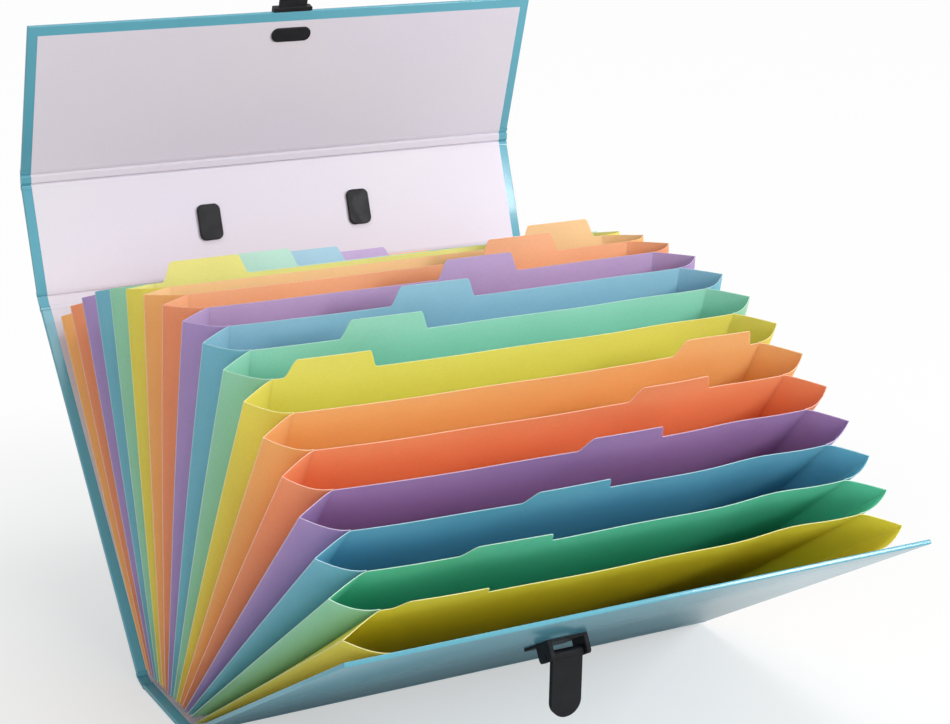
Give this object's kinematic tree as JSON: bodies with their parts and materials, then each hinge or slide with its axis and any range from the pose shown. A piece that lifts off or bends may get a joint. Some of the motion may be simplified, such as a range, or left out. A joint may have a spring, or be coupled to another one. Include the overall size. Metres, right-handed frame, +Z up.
{
  "type": "expanding accordion file folder",
  "caption": "Fold-open accordion file case: papered board covers joined by creased strips, fanned coloured pockets with index tabs, hasp latch with swinging lever, and bail handle on the lid.",
  "frame": {"origin": "on the table, under the middle of the base panel", "axes": "+X along the case width to the right seen from the front, +Y towards the back cover, +Z up"},
  "size_m": [0.332, 0.4526, 0.3732],
  "materials": {
    "grey_board": "raw binder board",
    "cover_paper": "laminated printed paper, satin gloss",
    "lining_paper": "uncoated off-white lining paper",
    "black_plastic": "moulded, fine texture",
    "orange_card": "coloured card, matte",
    "coral_card": "coloured card, matte",
    "purple_card": "coloured card, matte",
    "blue_card": "coloured card, matte",
    "green_card": "coloured card, matte",
    "yellow_card": "coloured card, matte"
  },
  "bodies": {
    "base": {"base_board": "grey_board", "base_wrap": "cover_paper", "base_lining": "lining_paper"},
    "back_crease": {"back_strip": "cover_paper"},
    "back_panel": {"back_board": "grey_board", "back_wrap": "cover_paper", "pocket_01_orange": "orange_card", "gussets_01": "orange_card"},
    "lid_crease": {"lid_strip": "cover_paper"},
    "lid": {"lid_board": "grey_board", "lid_wrap": "cover_paper", "lid_lining": "lining_paper", "handle_anchors": "black_plastic"},
    "flap_crease": {"flap_strip": "cover_paper"},
    "flap": {"flap_board": "grey_board", "flap_wrap": "cover_paper", "flap_lining": "lining_paper", "hasp": "black_plastic", "hasp_inner_plate": "black_plastic"},
    "front_crease": {"front_strip": "cover_paper"},
    "front_panel": {"front_board": "grey_board", "front_wrap": "cover_paper", "front_lining": "lining_paper", "latch_bracket": "black_plastic"},
    "lever": {"latch_lever": "black_plastic"},
    "handle": {"carry_handle": "black_plastic"},
    "pocket_02": {"pocket_02_coral": "coral_card", "gussets_02": "coral_card"},
    "pocket_03": {"pocket_03_purple": "purple_card", "gussets_03": "purple_card"},
    "pocket_04": {"pocket_04_blue": "blue_card", "gussets_04": "blue_card"},
    "pocket_05": {"pocket_05_green": "green_card", "gussets_05": "green_card"},
    "pocket_06": {"pocket_06_yellow": "yellow_card", "gussets_06": "yellow_card"},
    "pocket_07": {"pocket_07_orange": "orange_card", "gussets_07": "orange_card"},
    "pocket_08": {"pocket_08_coral": "coral_card", "gussets_08": "coral_card"},
    "pocket_09": {"pocket_09_purple": "purple_card", "gussets_09": "purple_card"},
    "pocket_10": {"pocket_10_blue": "blue_card", "gussets_10": "blue_card"},
    "pocket_11": {"pocket_11_green": "green_card", "gussets_11": "green_card"},
    "pocket_12": {"pocket_12_yellow": "yellow_card", "gussets_12": "yellow_card"},
    "pocket_13": {"pocket_13_orange": "orange_card", "gussets_13": "orange_card"},
    "pocket_14": {"pocket_14_coral": "coral_card", "gussets_14": "coral_card"},
    "pocket_15": {"pocket_15_purple": "purple_card", "gussets_15": "purple_card"},
    "pocket_16": {"pocket_16_blue": "blue_card", "gussets_16": "blue_card"},
    "pocket_17": {"pocket_17_green": "green_card", "gussets_17": "green_card"},
    "pocket_18": {"pocket_18_yellow": "yellow_card", "gussets_18": "yellow_card"}
  },
  "joints": [
    {"name": "back_lower_crease", "type": "hinge", "parent": "base", "child": "back_crease", "pos_m": [0, 0.03075, 0.00125], "axis": [1, 0, 0], "range_deg": [0, 30.5], "deforming": ["gussets_01", "gussets_02", "gussets_03", "gussets_04", "gussets_05", "gussets_06", "gussets_07", "gussets_08", "gussets_09", "gussets_10", "gussets_11", "gussets_12", "gussets_13", "gussets_14", "gussets_15", "gussets_16", "gussets_17", "gussets_18"]},
    {"name": "back_upper_crease", "type": "hinge", "parent": "back_crease", "child": "back_panel", "pos_m": [0, 0.03753, 0.003], "axis": [1, 0, 0], "range_deg": [0, 10.3]},
    {"name": "front_lower_crease", "type": "hinge", "parent": "base", "child": "front_crease", "pos_m": [0, -0.03075, 0.00125], "axis": [-1, 0, 0], "range_deg": [0, 32]},
    {"name": "front_upper_crease", "type": "hinge", "parent": "front_crease", "child": "front_panel", "pos_m": [0, -0.03757, 0.00282], "axis": [-1, 0, 0], "range_deg": [0, 26]},
    {"name": "lid_lower_crease", "type": "hinge", "parent": "back_panel", "child": "lid_crease", "pos_m": [0, 0.19043, 0.18014], "axis": [1, 0, 0], "range_deg": [-30, 42]},
    {"name": "lid_upper_crease", "type": "hinge", "parent": "lid_crease", "child": "lid", "pos_m": [0, 0.19435, 0.1852], "axis": [1, 0, 0], "range_deg": [-19.5, 27.3]},
    {"name": "flap_lower_crease", "type": "hinge", "parent": "lid", "child": "flap_crease", "pos_m": [0, 0.21755, 0.24858], "axis": [1, 0, 0], "range_deg": [-40, 23.8]},
    {"name": "flap_upper_crease", "type": "hinge", "parent": "flap_crease", "child": "flap", "pos_m": [0, 0.21742, 0.25498], "axis": [1, 0, 0], "range_deg": [-50.92, 30.3]},
    {"name": "lever_swing", "type": "hinge", "parent": "front_panel", "child": "lever", "pos_m": [0, -0.151, 0.06285], "axis": [1, 0, 0], "range_deg": [-60, 58]},
    {"name": "handle_swing", "type": "hinge", "parent": "lid", "child": "handle", "pos_m": [0, 0.21257, 0.21447], "axis": [1, 0, 0], "range_deg": [-20, 159.4]},
    {"name": "pocket_02_foot", "type": "hinge", "parent": "base", "child": "pocket_02", "pos_m": [0, 0.02972, 0.00585], "axis": [1, 0, 0], "range_deg": [0, 36.45]},
    {"name": "pocket_03_foot", "type": "hinge", "parent": "base", "child": "pocket_03", "pos_m": [0, 0.02589, 0.00585], "axis": [1, 0, 0], "range_deg": [0, 31.66]},
    {"name": "pocket_04_foot", "type": "hinge", "parent": "base", "child": "pocket_04", "pos_m": [0, 0.02207, 0.00585], "axis": [1, 0, 0], "range_deg": [0, 26.48]},
    {"name": "pocket_05_foot", "type": "hinge", "parent": "base", "child": "pocket_05", "pos_m": [0, 0.01824, 0.00585], "axis": [1, 0, 0], "range_deg": [0, 20.97]},
    {"name": "pocket_06_foot", "type": "hinge", "parent": "base", "child": "pocket_06", "pos_m": [0, 0.01441, 0.00585], "axis": [1, 0, 0], "range_deg": [0, 15.19]},
    {"name": "pocket_07_foot", "type": "hinge", "parent": "base", "child": "pocket_07", "pos_m": [0, 0.01058, 0.00585], "axis": [1, 0, 0], "range_deg": [0, 9.21]},
    {"name": "pocket_08_foot", "type": "hinge", "parent": "base", "child": "pocket_08", "pos_m": [0, 0.00676, 0.00585], "axis": [1, 0, 0], "range_deg": [0, 3.06]},
    {"name": "pocket_09_foot", "type": "hinge", "parent": "base", "child": "pocket_09", "pos_m": [0, 0.00293, 0.00585], "axis": [1, 0, 0], "range_deg": [-3.17, 0]},
    {"name": "pocket_10_foot", "type": "hinge", "parent": "base", "child": "pocket_10", "pos_m": [0, -0.0009, 0.00585], "axis": [1, 0, 0], "range_deg": [-9.45, 0]},
    {"name": "pocket_11_foot", "type": "hinge", "parent": "base", "child": "pocket_11", "pos_m": [0, -0.00473, 0.00585], "axis": [1, 0, 0], "range_deg": [-15.7, 0]},
    {"name": "pocket_12_foot", "type": "hinge", "parent": "base", "child": "pocket_12", "pos_m": [0, -0.00856, 0.00585], "axis": [1, 0, 0], "range_deg": [-21.88, 0]},
    {"name": "pocket_13_foot", "type": "hinge", "parent": "base", "child": "pocket_13", "pos_m": [0, -0.01238, 0.00585], "axis": [1, 0, 0], "range_deg": [-27.91, 0]},
    {"name": "pocket_14_foot", "type": "hinge", "parent": "base", "child": "pocket_14", "pos_m": [0, -0.01621, 0.00585], "axis": [1, 0, 0], "range_deg": [-33.75, 0]},
    {"name": "pocket_15_foot", "type": "hinge", "parent": "base", "child": "pocket_15", "pos_m": [0, -0.02004, 0.00585], "axis": [1, 0, 0], "range_deg": [-39.34, 0]},
    {"name": "pocket_16_foot", "type": "hinge", "parent": "base", "child": "pocket_16", "pos_m": [0, -0.02387, 0.00585], "axis": [1, 0, 0], "range_deg": [-44.62, 0]},
    {"name": "pocket_17_foot", "type": "hinge", "parent": "base", "child": "pocket_17", "pos_m": [0, -0.02769, 0.00585], "axis": [1, 0, 0], "range_deg": [-49.53, 0]},
    {"name": "pocket_18_foot", "type": "hinge", "parent": "base", "child": "pocket_18", "pos_m": [0, -0.03152, 0.00585], "axis": [1, 0, 0], "range_deg": [-54.01, 0]}
  ],
  "couplings": [
    {"joint": "back_upper_crease", "follows": "back_lower_crease", "ratio": 0.3377},
    {"joint": "front_lower_crease", "follows": "back_lower_crease", "ratio": 1.0492},
    {"joint": "front_upper_crease", "follows": "back_lower_crease", "ratio": 0.85246},
    {"joint": "lid_upper_crease", "follows": "lid_lower_crease", "ratio": 0.65},
    {"joint": "flap_upper_crease", "follows": "flap_lower_crease", "ratio": 1.2731},
    {"joint": "pocket_02_foot", "follows": "back_lower_crease", "ratio": 1.1951},
    {"joint": "pocket_03_foot", "follows": "back_lower_crease", "ratio": 1.038},
    {"joint": "pocket_04_foot", "follows": "back_lower_crease", "ratio": 0.86814},
    {"joint": "pocket_05_foot", "follows": "back_lower_crease", "ratio": 0.68758},
    {"joint": "pocket_06_foot", "follows": "back_lower_crease", "ratio": 0.49817},
    {"joint": "pocket_07_foot", "follows": "back_lower_crease", "ratio": 0.30183},
    {"joint": "pocket_08_foot", "follows": "back_lower_crease", "ratio": 0.10046},
    {"joint": "pocket_09_foot", "follows": "back_lower_crease", "ratio": -0.10404},
    {"joint": "pocket_10_foot", "follows": "back_lower_crease", "ratio": -0.30975},
    {"joint": "pocket_11_foot", "follows": "back_lower_crease", "ratio": -0.51479},
    {"joint": "pocket_12_foot", "follows": "back_lower_crease", "ratio": -0.71723},
    {"joint": "pocket_13_foot", "follows": "back_lower_crease", "ratio": -0.91517},
    {"joint": "pocket_14_foot", "follows": "back_lower_crease", "ratio": -1.1067},
    {"joint": "pocket_15_foot", "follows": "back_lower_crease", "ratio": -1.2899},
    {"joint": "pocket_16_foot", "follows": "back_lower_crease", "ratio": -1.4629},
    {"joint": "pocket_17_foot", "follows": "back_lower_crease", "ratio": -1.6238},
    {"joint": "pocket_18_foot", "follows": "back_lower_crease", "ratio": -1.7707}
  ]
}
